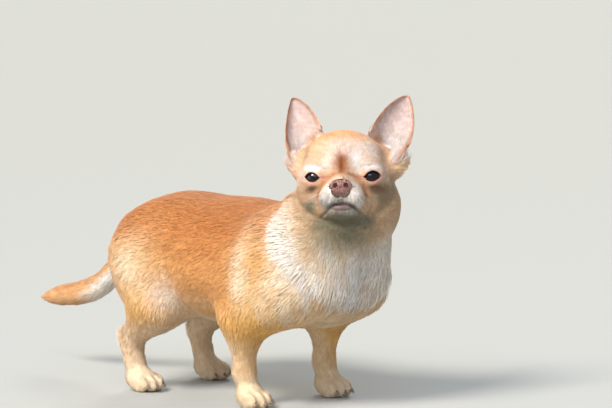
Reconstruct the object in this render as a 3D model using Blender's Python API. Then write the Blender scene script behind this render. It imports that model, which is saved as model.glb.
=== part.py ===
"""A life-size smooth-coated chihuahua, stout and long in the body, that stands on four paws.

The body looks along +X, its left is +Y and the floor is Z = 0. The head is turned to the right
and lifted a little. The flesh is one smooth blend of eggs and limbs. It is meshed once coarsely
and once finely, and then parted by thin gaps into the torso, the neck, the head and the limbs.
"""

from math import cos, pi, radians, sin

import bmesh
import bpy
import numpy as np
from mathutils import Matrix, Vector

CM = 0.01
MM = 0.001
GAP = 0.3 * MM
SIDES = {"right": -1, "left": 1}

# Driving dimensions of the body
BACK_HEIGHT = 16.3 * CM
BELLY_HEIGHT = 6.3 * CM
BODY_HALF_WIDTH = 6.1 * CM
FOREPAW_SPREAD = 4.3 * CM
HINDPAW_SPREAD = 4.1 * CM
RIGHT_FORELEG_X = 4.2 * CM
LEFT_FORELEG_AHEAD = 1.0 * CM
HOCK_X = -8.8 * CM

# Driving dimensions of the head, whose own frame starts midway between the eyeballs
HEAD_PLACE = Vector((12.55, -1.65, 18.9)) * CM
HEAD_YAW = radians(-52)
HEAD_PITCH = radians(15)
HEAD_ROLL = radians(1.5)
EYE_RADIUS = 9.0 * MM
EYE_SPREAD = 21.8 * MM
LID_THICKNESS = 1.5 * MM
EAR_DEPTH = 19 * MM
EAR_LEAN = 4.5 * MM
EAR_SWING = {-1: 51 * MM, 1: 57 * MM}
EAR_ROWS = 12
EAR_COLUMNS = 12
CHEEK_TILT = radians(-25)
NOSTRIL_TURN = radians(10)
NOSE_LINE_DEPTH = 1.1 * MM
NOSE_LINE_WIDTH = 0.8 * MM
MOUTH_DEPTH = 2.2 * MM
MOUTH_WIDTH = 1.5 * MM
EYE_OUTWARD = radians(14)
EYE_SLIT_WIDTH = {-1: 12.4 * MM, 1: 14.3 * MM}
EYE_SLIT_ABOVE = {-1: 3.7 * MM, 1: 4.2 * MM}
EYE_SLIT_BELOW = {-1: 3.5 * MM, 1: 3.8 * MM}
EYE_SLANT = 0.12

# Each toe's place across and ahead of the paw's middle, in centimetres
TOES = ((-0.92, 0.55), (-0.33, 1.0), (0.33, 1.0), (0.92, 0.55))
CLAW_SIDES = 6
PAW_LENGTHS = {"fore": 1.0, "hind": 1.05}

# Where the flesh is parted: a point on the plane, its normal and the size of the box on it, in cm
HEAD_REGION = ((11.0, 0, 15.2), (0.526, -0.03, 0.85), (20, 20, 16))
FINE_HEAD_REGION = ((11.0, 0, 14.2), (0.526, -0.03, 0.85), (22, 22, 18))
NECK_REGION = ((8.0, 0, 15.0), (0.4, 0, 0.92), (24, 24, 16))
TAIL_REGION = ((-12.2, 0, 11.05), (-0.91, 0, -0.415), (3.8, 4.8, 15))
WRIST_HEIGHT = 2.1 * CM

# How finely each stretch of flesh is meshed
COARSE_VOXEL = 4.0 * MM
FINE_VOXEL = 1.3 * MM
NOSE_VOXEL = 0.8 * MM
PAW_VOXEL = 1.2 * MM
COARSE_TRIANGLES = 5800
HEAD_TRIANGLES = 4000
PAW_TRIANGLES = 700
NOSE_TRIANGLES = 600

FAWN = (0.72, 0.38, 0.16)
CREAM = (0.85, 0.70, 0.52)
LEATHER = (0.36, 0.15, 0.12)
EYE_BROWN = (0.03, 0.015, 0.01)
HORN = (0.20, 0.13, 0.09)


def head_matrix():
    """From the head's own frame, forward, left and up in metres, to the world."""
    turn = Matrix.Rotation(HEAD_YAW, 4, "Z") @ Matrix.Rotation(-HEAD_PITCH, 4, "Y")
    return Matrix.Translation(HEAD_PLACE) @ turn @ Matrix.Rotation(HEAD_ROLL, 4, "X")


HEAD = head_matrix()


class Egg:
    """An ellipsoid with its own turn, blended into its neighbours over a stated width."""

    def __init__(self, centre, radii, blend, turn=None, inside=None, unit=CM):
        place = inside or Matrix.Identity(4)
        own = (turn or Matrix.Identity(3)).to_4x4()
        self.matrix = place @ Matrix.Translation(Vector(centre) * unit) @ own
        self.radii = np.array(radii) * unit
        self.blend = blend * unit

    def distance(self, points):
        inverse = np.array(self.matrix.inverted())
        local = points @ inverse[:3, :3].T + inverse[:3, 3]
        near = np.linalg.norm(local / self.radii, axis=1)
        slope = np.linalg.norm(local / self.radii**2, axis=1)
        return near * (near - 1) / np.maximum(slope, 1e-6)

    def add_to(self, shape):
        scale = Matrix.Diagonal((*self.radii, 1.0))
        bmesh.ops.create_icosphere(shape, subdivisions=3, radius=1, matrix=self.matrix @ scale)


class Limb:
    """A straight limb between two round ends of different radius."""

    def __init__(self, start, start_radius, end, end_radius, blend, inside=None, unit=CM):
        place = inside or Matrix.Identity(4)
        self.start = np.array(place @ (Vector(start) * unit))
        self.end = np.array(place @ (Vector(end) * unit))
        self.start_radius, self.end_radius = start_radius * unit, end_radius * unit
        self.blend = blend * unit

    def distance(self, points):
        axis = self.end - self.start
        length = np.linalg.norm(axis)
        taper = (self.start_radius - self.end_radius) / length
        slant = np.sqrt(1 - taper**2)
        local = points - self.start
        along = local @ axis / length
        across = np.sqrt(np.maximum((local**2).sum(1) - along**2, 0))
        at = np.clip(along + across * taper / slant, 0, length)
        centre_gap = np.hypot(across, along - at)
        return centre_gap - (self.start_radius - at * taper)

    def add_to(self, shape):
        """Adds a string of balls close enough that a voxel mesh makes one limb of them."""
        length = np.linalg.norm(self.end - self.start)
        count = 2 + int(length / (0.4 * min(self.start_radius, self.end_radius)))
        for share in np.linspace(0, 1, count):
            place = Matrix.Translation(Vector(self.start + (self.end - self.start) * share))
            radius = self.start_radius + (self.end_radius - self.start_radius) * share
            bmesh.ops.create_icosphere(shape, subdivisions=2, radius=radius, matrix=place)


def smooth_min(a, b, width):
    share = np.maximum(width - np.abs(a - b), 0) / width
    return np.minimum(a, b) - share**2 * width / 4


def field(points, forms):
    """Signed distance to the smooth blend of the forms."""
    found = forms[0].distance(points)
    for form in forms[1:]:
        found = smooth_min(found, form.distance(points), form.blend)
    return found


def mirrored(make):
    """Calls make for the right side and the left side, and joins what it lists."""
    return [form for sign in SIDES.values() for form in make(sign)]


def trunk_forms():
    half_height = (BACK_HEIGHT - BELLY_HEIGHT) / 2 / CM
    middle = BELLY_HEIGHT / CM + half_height
    wide = BODY_HALF_WIDTH / CM
    return [
        Egg((3.6, 0, middle - 0.25), (8.2, wide, half_height), 3),
        Egg((-2.6, 0, middle), (8.0, wide - 0.1, half_height - 0.1), 3),
        Egg((-6.3, 0, middle + 0.55), (4.8, wide - 0.8, 4.3), 2.5),
        Egg((8.6, 0.25, 11.5), (5.1, wide - 0.7, 4.5), 2),
        Limb((8.8, 0.3, 12.5), 5.2, (11.3, 0.37, 16.6), 4.3, 2.2),
    ]


def shoulder_forms(sign):
    ahead = LEFT_FORELEG_AHEAD / CM if sign > 0 else 0
    x, y = RIGHT_FORELEG_X / CM + ahead, sign * FOREPAW_SPREAD / CM
    return [
        Egg((x + 1.8, sign * 4.0, 11.0), (3.0, 2.3, 4.6), 2.5, Matrix.Rotation(radians(18), 3, "Y")),
        Limb((x + 4.3, sign * 4.0, 9.3), 2.1, (x + 0.3, y * 1.06, 7.2), 1.75, 1.6),
        Limb((x + 0.1, y * 1.04, 7.0), 1.45, (x + 0.1, y, 3.0), 0.98, 1.6),
        Limb((x + 0.1, y, 3.0), 0.95, (x + 0.5, y, 1.5), 0.9, 0.6),
    ]


def thigh_forms(sign):
    y = sign * HINDPAW_SPREAD / CM
    hock = HOCK_X / CM
    return [
        Egg((-7.2, sign * 3.1, 10.4), (4.0, 2.9, 4.7), 2),
        Limb((-6.9, sign * 3.8, 11.0), 2.9, (-5.3, sign * 4.3, 7.7), 2.1, 2),
        Limb((-5.6, sign * 4.3, 7.3), 1.9, (hock, y, 4.2), 1.1, 1.6),
        Limb((hock, y, 4.2), 1.05, (hock + 0.6, y, 1.4), 0.88, 0.6),
        Limb((hock - 0.1, y, 4.3), 0.85, (hock - 0.75, y, 4.75), 0.62, 0.5),
    ]


def paw_forms(x, y, length):
    """A paw round the point x, y on the floor: its pad and four toes, the middle two ahead."""
    forms = [Egg((x, y, 0.95), (1.35 * length, 1.2, 1.0), 0.5)]
    for across, ahead in TOES:
        toe = (x + ahead * length, y + across, 0.72)
        forms.append(Egg(toe, (0.98 * length, 0.40, 0.76), 0.12))
    return forms


def forepaw_centre(sign):
    ahead = LEFT_FORELEG_AHEAD / CM if sign > 0 else 0
    return RIGHT_FORELEG_X / CM + ahead + 0.75, sign * FOREPAW_SPREAD / CM


def hindpaw_centre(sign):
    return HOCK_X / CM + 1.15, sign * HINDPAW_SPREAD / CM


def foreleg_regions(sign):
    """Where a foreleg is parted from the torso, and its paw from the leg."""
    x, y = forepaw_centre(sign)
    leg = ((x - 0.5, sign * 5.5, 7.6), (0, sign * 0.4, -0.92), (6.5, 11.8, 9))
    paw = ((x, y, WRIST_HEIGHT / CM), (0, 0, -1), (6, 4, WRIST_HEIGHT / CM))
    return leg, paw


def hindleg_regions(sign):
    """Where a hind leg is parted from the torso, and its paw from the leg."""
    x, y = hindpaw_centre(sign)
    leg = ((-7.6, sign * 4.1, 8.1), (0, sign * 0.4, -0.92), (9.0, 10.0, 10))
    paw = ((x, y, WRIST_HEIGHT / CM), (0, 0, -1), (6, 4, WRIST_HEIGHT / CM))
    return leg, paw


# The tail's own line from the croup to the tip, each point with its radius, in centimetres
TAIL_LINE = [
    ((-10.0, 0, 12.9), 1.3),
    ((-12.7, 0, 10.8), 1.05),
    ((-16.2, 0, 7.98), 0.93),
    ((-18.7, 0, 6.9), 0.95),
    ((-21.6, 0, 6.33), 0.78),
    ((-23.9, 0, 5.94), 0.26),
]
TAIL_STEPS = 3


def tail_forms():
    """Short limbs along a smooth curve through the points of the tail's line."""
    knots = [Vector((*point, radius)) for point, radius in TAIL_LINE]
    knots = [knots[0] * 2 - knots[1], *knots, knots[-1] * 2 - knots[-2]]
    curve = []
    for a, b, c, d in zip(knots, knots[1:], knots[2:], knots[3:]):
        for step in range(TAIL_STEPS):
            t = step / TAIL_STEPS
            bend = (a - b * 2.5 + c * 2 - d * 0.5) * t**2 + ((b - c) * 1.5 + (d - a) * 0.5) * t**3
            curve.append(b + (c - a) * 0.5 * t + bend)
    curve.append(knots[-2])
    return [Limb(a[:3], a[3], b[:3], b[3], 0.5) for a, b in zip(curve, curve[1:])]


def head_egg(centre, radii, blend, turn=None):
    return Egg(centre, radii, blend, turn, inside=HEAD, unit=MM)


def head_limb(start, start_radius, end, end_radius, blend):
    return Limb(start, start_radius, end, end_radius, blend, inside=HEAD, unit=MM)


def head_forms():
    """The apple skull, cheeks, short muzzle, lips, jaw and lids, in millimetres of the head's frame."""
    spread = EYE_SPREAD / MM
    lid = (EYE_RADIUS + LID_THICKNESS) / MM
    forms = [
        head_egg((-22, 0, 13.5), (32, 34, 29), 10),
        head_egg((-5, 0, 18), (17, 26, 19), 10),
        head_egg((16, 0, -13), (17, 16, 9.5), 8),
        head_egg((14, 0, -6), (15, 8, 7), 6),
        head_egg((9, 0, -27), (17, 14, 7.4), 2.5),
        head_egg((19.5, 0, -27.6), (6.5, 9.5, 3.0), 1.2),
        head_egg((-14, 0, -21), (20, 23, 13), 8),
    ]
    for side in SIDES.values():
        forms += [
            head_egg((-20, side * 22.5, -6), (24, 16.5, 23), 6, Matrix.Rotation(side * CHEEK_TILT, 3, "X")),
            head_egg((1, side * 20, 9), (9, 11, 7), 6),
            head_egg((-29, side * 29, 18), (12, 11, 12), 8),
            head_egg((17, side * 9.2, -18.5), (13, 10.2, 8.2), 3),
            head_egg((-18, side * (EAR_SWING[side] / MM - 13.5), 13), (8, 8, 10), 7),
            head_egg((0, side * spread, 0), (lid, lid, lid), 3),
        ]
    return forms


def flesh_forms():
    forms = trunk_forms() + mirrored(shoulder_forms) + mirrored(thigh_forms) + tail_forms()
    for sign in SIDES.values():
        forms += paw_forms(*forepaw_centre(sign), PAW_LENGTHS["fore"])
        forms += paw_forms(*hindpaw_centre(sign), PAW_LENGTHS["hind"])
    return forms + head_forms()


def object_of(shape, name):
    mesh = bpy.data.meshes.new(name)
    shape.to_mesh(mesh)
    shape.free()
    made = bpy.data.objects.new(name, mesh)
    bpy.context.scene.collection.objects.link(made)
    return made


def evaluated(source, name):
    """A new object with the modifiers of the source applied; the source is removed."""
    graph = bpy.context.evaluated_depsgraph_get()
    mesh = bpy.data.meshes.new_from_object(source.evaluated_get(graph))
    made = bpy.data.objects.new(name, mesh)
    bpy.context.scene.collection.objects.link(made)
    bpy.data.objects.remove(source)
    return made


def copy_of(source, name):
    made = bpy.data.objects.new(name, source.data.copy())
    bpy.context.scene.collection.objects.link(made)
    return made


def points_of(made):
    found = np.empty(len(made.data.vertices) * 3)
    made.data.vertices.foreach_get("co", found)
    return found.reshape(-1, 3)


def move_points(made, points):
    made.data.vertices.foreach_set("co", points.ravel())
    made.data.update()


def settle(made, forms, steps=5):
    """Moves each point of a rough mesh onto the smooth blend of the forms."""
    points = points_of(made)
    reach = 0.05 * MM
    for _ in range(steps):
        here = field(points, forms)
        slope = np.empty_like(points)
        for axis in range(3):
            step = np.zeros(3)
            step[axis] = reach
            ahead = field(points + step, forms)
            behind = field(points - step, forms)
            slope[:, axis] = (ahead - behind) / (2 * reach)
        size = np.maximum((slope**2).sum(1), 0.05)
        points = points - slope * (np.clip(here, -3 * MM, 3 * MM) / size)[:, None]
    move_points(made, points)


def blended(name, forms, voxel):
    """One closed mesh of the blended forms."""
    shape = bmesh.new()
    for form in forms:
        form.add_to(shape)
    made = object_of(shape, name)
    remesh = made.modifiers.new("Remesh", "REMESH")
    remesh.mode = "VOXEL"
    remesh.voxel_size = voxel
    made = evaluated(made, name)
    settle(made, forms)
    relax = made.modifiers.new("Smooth", "SMOOTH")
    relax.factor = 0.4
    relax.iterations = 2
    made = evaluated(made, name)
    settle(made, forms, 2)
    return made


def thinned(made, triangles):
    """The same surface with about that many triangles."""
    made.data.calc_loop_triangles()
    decimate = made.modifiers.new("Decimate", "DECIMATE")
    decimate.ratio = min(1.0, triangles / len(made.data.loop_triangles))
    decimate.use_collapse_triangulate = True
    return evaluated(made, made.name)


def facing(normal):
    """The turn whose Z axis is the normal."""
    return Vector(normal).to_track_quat("Z", "Y").to_matrix()


def box_on(point, normal, size, name="box"):
    """A box in centimetres that stands on the plane through the point and rises along the normal."""
    turn = facing(normal)
    centre = (Vector(point) + turn.col[2] * size[2] / 2) * CM
    shape = bmesh.new()
    scale = Matrix.Diagonal((*(Vector(size) * CM), 1.0))
    bmesh.ops.create_cube(shape, size=1, matrix=Matrix.Translation(centre) @ turn.to_4x4() @ scale)
    return object_of(shape, name)


def grown(made, by=GAP):
    """A copy with every face moved out, to cut its neighbour with."""
    copy = copy_of(made, "grown")
    swell = copy.modifiers.new("Displace", "DISPLACE")
    swell.strength = by
    swell.mid_level = 0
    return evaluated(copy, "grown")


def grown_box(point, normal, size):
    """The same box with each side moved out by the gap."""
    normal = Vector(normal).normalized()
    wider = [side + 2 * GAP / CM for side in size]
    return box_on(Vector(point) - normal * GAP / CM, normal, wider, "grown")


def boolean(made, cutter, operation, keep_cutter=False):
    """Applies one Boolean and keeps the largest closed surface."""
    cut = made.modifiers.new("Boolean", "BOOLEAN")
    cut.operation = operation
    cut.object = cutter
    cut.solver = "EXACT"
    made = evaluated(made, made.name)
    keep_largest(made)
    if not keep_cutter:
        bpy.data.objects.remove(cutter)
    return made


def keep_largest(made):
    """Drops every loose scrap but the largest surface."""
    shape = bmesh.new()
    shape.from_mesh(made.data)
    left = set(shape.verts)
    islands = []
    while left:
        seed = left.pop()
        island, edge = {seed}, [seed]
        while edge:
            for link in edge.pop().link_edges:
                for vert in link.verts:
                    if vert in left:
                        left.discard(vert)
                        island.add(vert)
                        edge.append(vert)
        islands.append(island)
    largest = max(islands, key=len)
    spare = [vert for island in islands if island is not largest for vert in island]
    bmesh.ops.delete(shape, geom=spare, context="VERTS")
    shape.to_mesh(made.data)
    shape.free()


def part_off(rest, name, region, source=None):
    """Cuts what lies in the region from the rest, as a node of its own.

    The node is cut from the source, a finer mesh of the same flesh, where one is given.
    """
    node = boolean(copy_of(source or rest, name), box_on(*region), "INTERSECT")
    return node, boolean(rest, grown_box(*region), "DIFFERENCE")


def material(name, colour, roughness):
    made = bpy.data.materials.new(name)
    made.use_nodes = True
    shader = made.node_tree.nodes["Principled BSDF"]
    shader.inputs["Base Color"].default_value = (*colour, 1)
    shader.inputs["Roughness"].default_value = roughness
    return made


def finish(made, name, look):
    made.name = name
    made.data.name = name
    made.data.materials.clear()
    made.data.materials.append(look)
    made.data.shade_smooth()
    return made


def ear_edges(side):
    """The outer and inner edges of one ear from the skull to the tip, as Bezier points in mm.

    The outer edge starts in front, below the notch, and swings out before it rises. Both ears
    lean a little towards the dog's left.
    """
    swing = EAR_SWING[side] / MM
    outer = [(-9, 37, 13), (-8, swing, 20), (-27, swing, 56), (-36, 47, 73.5)]
    inner = [(-14, 17, 35), (-18, 20, 48), (-30, 33, 72), (-36, 47, 73.5)]
    edges = []
    for line in (outer, inner):
        leaned = [(f, side * out + EAR_LEAN * (up - 8) / 65 / MM, up) for f, out, up in line]
        edges.append([Vector(point) for point in leaned])
    return edges


def bezier(points, t):
    a, b, c, d = points
    s = 1 - t
    return a * s**3 + b * 3 * s * s * t + c * 3 * s * t * t + d * t**3


def ear(side, name):
    """A cupped ear: two sheets between its edges that sink back between them like a scoop."""
    outer, inner = ear_edges(side)
    back = Vector((-1, side * 0.12, 0.05)).normalized()
    shape = bmesh.new()
    fronts, backs = [], []
    for row in range(EAR_ROWS):
        t = -0.06 + 1.06 * row / (EAR_ROWS - 1)
        a, b = bezier(outer, t), bezier(inner, t)
        depth = EAR_DEPTH / MM * (1 - max(t, 0)) ** 0.75 + 1.2
        thick = 2.8 - 1.3 * t
        front_row, back_row = [], []
        for column in range(EAR_COLUMNS + 1):
            s = -1 + 2 * column / EAR_COLUMNS
            sink = back * depth * (1 - s * s) ** 0.62
            rim = 0.45 + 0.55 * (1 - s**4)
            outward = Vector((-1, side * -0.5 * s, 0.05)).normalized() * thick * rim
            place = a.lerp(b, (s + 1) / 2) + sink
            front_row.append(shape.verts.new(HEAD @ (place * MM)))
            back_row.append(shape.verts.new(HEAD @ ((place + outward) * MM)))
        fronts.append(front_row)
        backs.append(back_row)
    for row in range(EAR_ROWS - 1):
        for column in range(EAR_COLUMNS):
            for sheet, flip in ((fronts, False), (backs, True)):
                a, b = sheet[row][column], sheet[row][column + 1]
                c, d = sheet[row + 1][column + 1], sheet[row + 1][column]
                for face in ((a, b, c), (a, c, d)):
                    shape.faces.new(face[::-1] if flip else face)
        for column in (0, EAR_COLUMNS):
            shape.faces.new((fronts[row][column], fronts[row + 1][column],
                             backs[row + 1][column], backs[row][column]))
    for row in (0, EAR_ROWS - 1):
        for column in range(EAR_COLUMNS):
            shape.faces.new((fronts[row][column], backs[row][column],
                             backs[row][column + 1], fronts[row][column + 1]))
    bmesh.ops.remove_doubles(shape, verts=shape.verts, dist=0.05 * MM)
    bmesh.ops.recalc_face_normals(shape, faces=shape.faces)
    return object_of(shape, name)


def eye_matrix(side):
    """The eye's own frame: it looks along +X, a little outwards."""
    out = Matrix.Rotation(side * EYE_OUTWARD, 4, "Z")
    return HEAD @ Matrix.Translation((0, side * EYE_SPREAD, 0)) @ out


def globe(side, radius, name):
    shape = bmesh.new()
    place = eye_matrix(side) @ Matrix.Rotation(pi / 2, 4, "Y")
    bmesh.ops.create_uvsphere(shape, u_segments=20, v_segments=12, radius=radius, matrix=place)
    return object_of(shape, name)


def eye_opening(side):
    """The socket of the globe joined with the almond slit between the lids."""
    shape = bmesh.new()
    half = EYE_SLIT_WIDTH[side] / 2
    rings = []
    for forward, size in ((1 * MM, 0.9), (16 * MM, 1.15)):
        ring = []
        for step in range(20):
            turn = 2 * pi * step / 20
            across = cos(turn) * half * size
            lid = EYE_SLIT_ABOVE[side] if sin(turn) > 0 else EYE_SLIT_BELOW[side]
            up = sin(turn) * lid * size + side * across * EYE_SLANT
            ring.append(shape.verts.new(eye_matrix(side) @ Vector((forward, across, up))))
        rings.append(ring)
        shape.faces.new(ring)
    for step in range(20):
        after = (step + 1) % 20
        shape.faces.new((rings[0][step], rings[0][after], rings[1][after], rings[1][step]))
    bmesh.ops.recalc_face_normals(shape, faces=shape.faces)
    return boolean(object_of(shape, "slit"), globe(side, EYE_RADIUS + GAP, "socket"), "UNION")


def nose_forms():
    forms = [
        head_egg((27, 0, -10.8), (8.5, 7.4, 5.2), 2),
        head_egg((28, 0, -15.8), (6.6, 6.5, 3.9), 2.5),
    ]
    for side in SIDES.values():
        forms.append(head_egg((28.3, side * 4.5, -11.4), (6.6, 4.2, 4.7), 1.5))
    return forms


def nostril(side):
    """The cutter of one nostril, which narrows inwards and towards the middle."""
    turn = Matrix.Rotation(side * NOSTRIL_TURN, 3, "Z")
    shape = bmesh.new()
    head_egg((33.5, side * 4.2, -10.9), (6, 2.15, 2.0), 0, turn).add_to(shape)
    return object_of(shape, "nostril")


# Lines pressed into the face, seen from in front, from the middle to the left, in millimetres
MOUTH_LINE = [(0, -23.6), (4.5, -24.2), (8.5, -25.5), (11.5, -27.4), (15, -29.6), (17, -31)]
NOSE_LINES = [[(0, -13), (0, -20)], [(5.2, -13.2), (9.0, -13.9)]]


def press(made, line, depth, width):
    """Presses a line into both halves of the face along the surface's own normals."""
    inverse = np.array(HEAD.inverted())
    points = points_of(made)
    local = (points @ inverse[:3, :3].T + inverse[:3, 3]) / MM
    seen = np.column_stack((np.abs(local[:, 1]), local[:, 2]))
    nearest = np.full(len(points), 1e9)
    for a, b in zip(np.array(line[:-1], float), np.array(line[1:], float)):
        along = np.clip((seen - a) @ (b - a) / ((b - a) @ (b - a)), 0, 1)
        nearest = np.minimum(nearest, np.linalg.norm(seen - a - along[:, None] * (b - a), axis=1))
    sink = depth * np.exp(-(nearest * MM / width) ** 2)
    sink *= np.clip((local[:, 0] - 2) / 6, 0, 1)
    normals = np.empty(points.size)
    made.data.vertices.foreach_get("normal", normals)
    move_points(made, points - normals.reshape(-1, 3) * sink[:, None])


def claw(x, y, name):
    """A short curved claw that points forwards and down, its tip just clear of the floor."""
    shape = bmesh.new()
    rings = []
    for ahead, up, radius in ((0, 0.66, 0.16), (0.28, 0.64, 0.14), (0.5, 0.5, 0.1), (0.62, 0.34, 0.03)):
        ring = []
        for step in range(CLAW_SIDES):
            turn = 2 * pi * step / CLAW_SIDES
            place = (x + ahead, y + cos(turn) * radius * 0.8, up + sin(turn) * radius)
            ring.append(shape.verts.new(Vector(place) * CM))
        rings.append(ring)
    shape.faces.new(rings[0])
    shape.faces.new(rings[-1])
    for a, b in zip(rings, rings[1:]):
        for step in range(CLAW_SIDES):
            after = (step + 1) % CLAW_SIDES
            shape.faces.new((a[step], a[after], b[after], b[step]))
    bmesh.ops.recalc_face_normals(shape, faces=shape.faces)
    return object_of(shape, name)


def centre_all(nodes):
    """Puts the middle of the whole over the origin and its lowest point on the floor."""
    points = np.concatenate([points_of(node) for node in nodes])
    low, high = points.min(0), points.max(0)
    middle = (low + high) / 2
    shift = np.array((middle[0], middle[1], low[2]))
    for node in nodes:
        move_points(node, points_of(node) - shift)


def build():
    for made in list(bpy.data.objects):
        bpy.data.objects.remove(made)
    fawn = material("fawn_coat", FAWN, 0.8)
    cream = material("cream_coat", CREAM, 0.8)
    leather = material("nose_leather", LEATHER, 0.45)
    brown = material("eye_brown", EYE_BROWN, 0.05)
    horn = material("claw_horn", HORN, 0.4)
    nodes = []

    rest = thinned(blended("rest", flesh_forms(), COARSE_VOXEL), COARSE_TRIANGLES)
    near_head = trunk_forms() + mirrored(shoulder_forms) + head_forms()
    fine = blended("fine_head", near_head, FINE_VOXEL)
    press(fine, MOUTH_LINE, MOUTH_DEPTH, MOUTH_WIDTH)
    fine = boolean(fine, box_on(*FINE_HEAD_REGION), "INTERSECT")
    fine = thinned(fine, HEAD_TRIANGLES)
    head, rest = part_off(rest, "head", HEAD_REGION, fine)
    bpy.data.objects.remove(fine)
    neck, rest = part_off(rest, "neck", NECK_REGION)
    tail, rest = part_off(rest, "tail", TAIL_REGION)
    nodes += [finish(neck, "neck", fawn), finish(tail, "tail", fawn)]

    for side_name, side in SIDES.items():
        for end, centre, forms, regions in (
            ("fore", forepaw_centre(side), shoulder_forms(side), foreleg_regions(side)),
            ("hind", hindpaw_centre(side), thigh_forms(side), hindleg_regions(side)),
        ):
            leg_region, paw_region = regions
            length = PAW_LENGTHS[end]
            toes = paw_forms(*centre, length)
            fine = thinned(blended("fine_paw", forms[-3:] + toes, PAW_VOXEL), PAW_TRIANGLES)
            leg, rest = part_off(rest, f"{end}leg_{side_name}", leg_region)
            paw, leg = part_off(leg, f"{end}paw_{side_name}", paw_region, fine)
            bpy.data.objects.remove(fine)
            swollen = grown(paw)
            for toe, (across, ahead) in enumerate(TOES, 1):
                name = f"{end}claw_{side_name}_{toe}"
                tip = claw(centre[0] + (ahead + 0.72) * length, centre[1] + across, name)
                tip = boolean(tip, swollen, "DIFFERENCE", keep_cutter=True)
                nodes.append(finish(tip, name, horn))
            bpy.data.objects.remove(swollen)
            nodes.append(finish(leg, f"{end}leg_{side_name}", fawn))
            nodes.append(finish(paw, f"{end}paw_{side_name}", cream))
    nodes.append(finish(rest, "torso", fawn))

    nose = blended("nose", nose_forms(), NOSE_VOXEL)
    for line in NOSE_LINES:
        press(nose, line, NOSE_LINE_DEPTH, NOSE_LINE_WIDTH)
    nose = thinned(nose, NOSE_TRIANGLES)
    head = boolean(head, grown(nose), "DIFFERENCE")
    for side in SIDES.values():
        nose = boolean(nose, nostril(side), "DIFFERENCE")
    nodes.append(finish(nose, "nose", leather))
    for side_name, side in SIDES.items():
        head = boolean(head, eye_opening(side), "DIFFERENCE")
        made = globe(side, EYE_RADIUS, f"eye_{side_name}")
        nodes.append(finish(made, f"eye_{side_name}", brown))
    swollen = grown(head)
    for side_name, side in SIDES.items():
        name = f"ear_{side_name}"
        made = boolean(ear(side, name), swollen, "DIFFERENCE", keep_cutter=True)
        nodes.append(finish(made, name, cream))
    bpy.data.objects.remove(swollen)
    nodes.append(finish(head, "head", fawn))
    centre_all(nodes)


build()
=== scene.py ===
"""Dresses the chihuahua: one skin over the whole body, a short coat of fine tufts, wet eyes, a
leathery nose, claws and a few whiskers, on a plain floor in soft light.
"""

from math import cos, pi, radians, sin

import bmesh
import bpy
import numpy as np
from mathutils import Matrix, Vector
from mathutils.bvhtree import BVHTree


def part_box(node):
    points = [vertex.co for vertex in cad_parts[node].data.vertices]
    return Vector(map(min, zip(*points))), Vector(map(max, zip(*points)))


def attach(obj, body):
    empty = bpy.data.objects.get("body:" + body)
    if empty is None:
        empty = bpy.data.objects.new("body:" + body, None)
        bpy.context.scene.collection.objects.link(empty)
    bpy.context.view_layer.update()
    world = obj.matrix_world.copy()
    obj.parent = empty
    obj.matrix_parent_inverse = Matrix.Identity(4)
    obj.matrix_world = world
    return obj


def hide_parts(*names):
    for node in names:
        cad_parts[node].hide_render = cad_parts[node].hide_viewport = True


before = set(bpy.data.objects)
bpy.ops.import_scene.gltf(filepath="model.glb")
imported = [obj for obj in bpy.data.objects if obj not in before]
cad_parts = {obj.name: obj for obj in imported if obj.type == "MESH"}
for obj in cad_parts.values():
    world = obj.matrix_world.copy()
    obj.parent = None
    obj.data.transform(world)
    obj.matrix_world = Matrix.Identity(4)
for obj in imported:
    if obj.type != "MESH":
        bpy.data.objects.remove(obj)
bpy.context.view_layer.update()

CM = 0.01
MM = 0.001
SIDES = {"right": -1, "left": 1}
BOTH = (-1, 1)
RANDOM = np.random.default_rng(11)

# The head's own frame: where it lies in the body's design frame, and how it is turned
HEAD_PLACE = Vector((12.55, -1.65, 18.9)) * CM
HEAD_YAW = radians(-52)
HEAD_PITCH = radians(15)
HEAD_ROLL = radians(1.5)

# The eyes, with the spread from the middle of the face in millimetres
EYE_OUTWARD = radians(14)
EYE_RADIUS = 9.0 * MM
EYE_SPREAD = 21.8
GAZE = {-1: radians(-20), 1: radians(10)}
# Degrees from the middle of the gaze at which the iris and the pupil fade out
IRIS_EDGE = (45, 50)
PUPIL_EDGE = (26, 40)

# By side, half the width and half the height of the slit between the lids, in millimetres
SLITS = {-1: (6.5, 3.8), 1: (7.5, 4.2)}
# How steeply the slits slant, how much they taper and how far the lids slide in and down
LID_SLANT = 0.12
LID_TAPER = 0.82
LID_SLIDE = 0.10
LID_DROP = 0.35

# Places in the head's frame, in millimetres forward, out to the side and up
NOSE_MIDDLE = (28, 0, -12.7)
NOSE_RADII = (9, 8.8, 7.6)
EAR_NOTCH = (-22, 21, 39)
EAR_TIP = (-36, 47, 73.5)
EAR_FOOT = 8
EAR_HEIGHT = 65
# How far to the left the ears' tips lean, and how far out each ear's outer edge swings
EAR_LEAN = 4.5
EAR_SWINGS = ((-1, 51), (1, 57))
BARE_EAR_TIP = 3.5

# The line of the neck and two places on it, in the body's design frame in centimetres
NECK_AXIS = (0.526, -0.03, 0.85)
HEAD_START = (11.0, 0, 15.4)
NECK_SEAM = (11.0, 0, 15.2)

# Lines on the body seen from the side, in the design frame in centimetres forward and up
TAIL_LINE = [(-10.0, 12.9), (-12.7, 10.8), (-16.2, 8.0), (-18.7, 6.9), (-21.6, 6.3), (-23.9, 5.9)]
RUFF_LINE = [(8.6, 17.5), (8.7, 16.0), (9.4, 13.6), (10.8, 11.7), (13.2, 9.4)]
SHOULDER_CREASE = [(5.3, 14.5), (4.9, 11), (4.0, 8)]
THIGH_CREASE = [(-3.0, 12), (-2.8, 10), (-3.4, 8)]

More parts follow.
